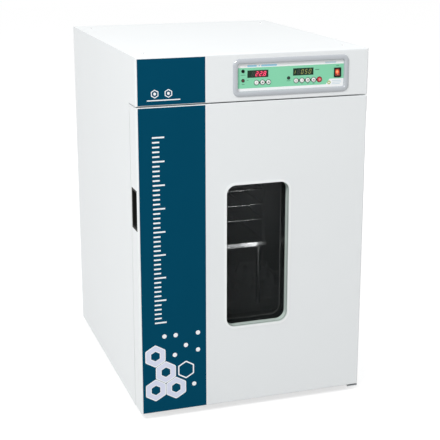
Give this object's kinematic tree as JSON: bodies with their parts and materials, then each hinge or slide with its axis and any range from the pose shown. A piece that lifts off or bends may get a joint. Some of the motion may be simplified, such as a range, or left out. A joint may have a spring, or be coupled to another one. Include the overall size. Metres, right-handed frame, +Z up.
{
  "type": "incubated orbital shaker",
  "caption": "Upright heated cabinet with a side-hung glazed door, a control hood above it, and an eccentric drive under the floor that swings a two-tier flask platform in a circle.",
  "frame": {"origin": "on the floor under the middle of the cabinet's bounding box", "axes": "+Z up, front with the door and panel towards -Y, door hinge on the +X side"},
  "size_m": [0.715, 0.888, 1.1012],
  "materials": {
    "white_enamel": "satin powder coat",
    "galvanised_steel": "galvanised sheet",
    "stainless_steel": "brushed",
    "shaft_steel": "ground",
    "cast_aluminium": "cast and machined",
    "foam": "rigid foam, matt",
    "black_rubber": "matt",
    "grey_seal": "matt",
    "motor_grey": "hammered paint",
    "board_green": "solder mask",
    "bezel_grey": "fine grained",
    "panel_green": "printed film, satin",
    "display_black": "smoked, glossy",
    "lamp_red": "tinted",
    "black_plastic": "satin",
    "rocker_red": "lit from inside",
    "key_white": "satin",
    "key_red": "satin",
    "blue_film": "self-adhesive film, satin",
    "white_plastic": "satin",
    "smoked_glass": "polished, tinted",
    "bracket_grey": "satin",
    "bright_screw": "bright"
  },
  "bodies": {
    "cabinet": {"base_frame": "galvanised_steel", "rubber_feet": "black_rubber", "left_side_panel": "white_enamel", "right_side_panel": "white_enamel", "top_cover": "white_enamel", "rear_panel": "white_enamel", "fascia_panel": "white_enamel", "front_frame": "white_enamel", "chamber_liner": "stainless_steel", "insulation": "foam", "air_duct_panel": "stainless_steel", "heater_element": "shaft_steel", "fan_motor": "motor_grey", "temperature_probe": "stainless_steel", "drive_deck": "galvanised_steel", "shaft_bearings": "cast_aluminium", "drive_motor": "motor_grey", "drive_belt": "black_rubber", "control_board": "board_green", "display_board": "board_green", "panel_bezel": "bezel_grey", "panel_plate": "panel_green", "led_displays": "display_black", "indicator_lamps": "lamp_red", "switch_housing": "black_plastic", "mains_inlet": "black_plastic", "hinge_brackets": "bracket_grey", "hood_strip": "blue_film", "casing_screws": "bright_screw"},
    "door": {"door_skin": "white_enamel", "door_liner": "white_plastic", "door_insulation": "foam", "door_gasket": "grey_seal", "door_pull": "black_plastic", "window_trim": "white_plastic", "window_glass": "smoked_glass", "door_strip": "blue_film", "hinge_bushes": "white_plastic"},
    "driven_crank": {"driven_crank": "shaft_steel", "driven_pulley": "cast_aluminium"},
    "platform": {"carrier_frame": "cast_aluminium", "carrier_bearings": "shaft_steel", "lower_platform": "stainless_steel", "upper_platform": "stainless_steel", "platform_posts": "stainless_steel", "vessel_rack": "stainless_steel", "flask_clamps": "stainless_steel"},
    "idler_left": {"idler_crank_left": "shaft_steel"},
    "idler_right": {"idler_crank_right": "shaft_steel"},
    "motor_rotor": {"motor_pulley": "shaft_steel"},
    "fan": {"fan_impeller": "cast_aluminium"},
    "rocker": {"power_rocker": "rocker_red"},
    "temp_set_key": {"temp_set_button": "key_white"},
    "temp_down_key": {"temp_down_button": "key_white"},
    "temp_up_key": {"temp_up_button": "key_white"},
    "speed_mode_key": {"speed_mode_button": "key_white"},
    "speed_set_key": {"speed_set_button": "key_white"},
    "speed_down_key": {"speed_down_button": "key_white"},
    "speed_up_key": {"speed_up_button": "key_white"},
    "start_stop_key": {"start_stop_button": "key_red"}
  },
  "joints": [
    {"name": "door_hinge", "type": "hinge", "parent": "cabinet", "child": "door", "pos_m": [0.3445, -0.417, 0.49], "axis": [0, 0, 1], "range_deg": [0, 120]},
    {"name": "crank_spin", "type": "hinge", "parent": "cabinet", "child": "driven_crank", "pos_m": [0, 0.081, 0.2], "axis": [0, 0, 1], "continuous": true},
    {"name": "platform_orbit", "type": "hinge", "parent": "driven_crank", "child": "platform", "pos_m": [0, 0.0935, 0.247], "axis": [0, 0, 1], "continuous": true},
    {"name": "idler_left_spin", "type": "hinge", "parent": "cabinet", "child": "idler_left", "pos_m": [-0.16, -0.169, 0.2], "axis": [0, 0, 1], "continuous": true},
    {"name": "idler_right_spin", "type": "hinge", "parent": "cabinet", "child": "idler_right", "pos_m": [0.16, -0.169, 0.2], "axis": [0, 0, 1], "continuous": true},
    {"name": "motor_spin", "type": "hinge", "parent": "cabinet", "child": "motor_rotor", "pos_m": [0.15, 0.081, 0.08], "axis": [0, 0, 1], "continuous": true},
    {"name": "fan_spin", "type": "hinge", "parent": "cabinet", "child": "fan", "pos_m": [0, 0.34, 0.64], "axis": [0, 1, 0], "continuous": true},
    {"name": "rocker_tilt", "type": "hinge", "parent": "cabinet", "child": "rocker", "pos_m": [0.258, -0.4355, 1.0315], "axis": [1, 0, 0], "range_deg": [0, 22]},
    {"name": "temp_set_press", "type": "slide", "parent": "cabinet", "child": "temp_set_key", "axis": [0, 1, 0], "range_m": [0, 0.0008], "stiffness_N_per_m": 1200, "springref_m": -0.0008},
    {"name": "temp_down_press", "type": "slide", "parent": "cabinet", "child": "temp_down_key", "axis": [0, 1, 0], "range_m": [0, 0.0008], "stiffness_N_per_m": 1200, "springref_m": -0.0008},
    {"name": "temp_up_press", "type": "slide", "parent": "cabinet", "child": "temp_up_key", "axis": [0, 1, 0], "range_m": [0, 0.0008], "stiffness_N_per_m": 1200, "springref_m": -0.0008},
    {"name": "speed_mode_press", "type": "slide", "parent": "cabinet", "child": "speed_mode_key", "axis": [0, 1, 0], "range_m": [0, 0.0008], "stiffness_N_per_m": 1200, "springref_m": -0.0008},
    {"name": "speed_set_press", "type": "slide", "parent": "cabinet", "child": "speed_set_key", "axis": [0, 1, 0], "range_m": [0, 0.0008], "stiffness_N_per_m": 1200, "springref_m": -0.0008},
    {"name": "speed_down_press", "type": "slide", "parent": "cabinet", "child": "speed_down_key", "axis": [0, 1, 0], "range_m": [0, 0.0008], "stiffness_N_per_m": 1200, "springref_m": -0.0008},
    {"name": "speed_up_press", "type": "slide", "parent": "cabinet", "child": "speed_up_key", "axis": [0, 1, 0], "range_m": [0, 0.0008], "stiffness_N_per_m": 1200, "springref_m": -0.0008},
    {"name": "start_stop_press", "type": "slide", "parent": "cabinet", "child": "start_stop_key", "axis": [0, 1, 0], "range_m": [0, 0.0008], "stiffness_N_per_m": 1200, "springref_m": -0.0008}
  ],
  "couplings": [
    {"joint": "platform_orbit", "follows": "crank_spin", "ratio": -1},
    {"joint": "idler_left_spin", "follows": "crank_spin", "ratio": 1},
    {"joint": "idler_right_spin", "follows": "crank_spin", "ratio": 1},
    {"joint": "motor_spin", "follows": "crank_spin", "ratio": 5}
  ]
}
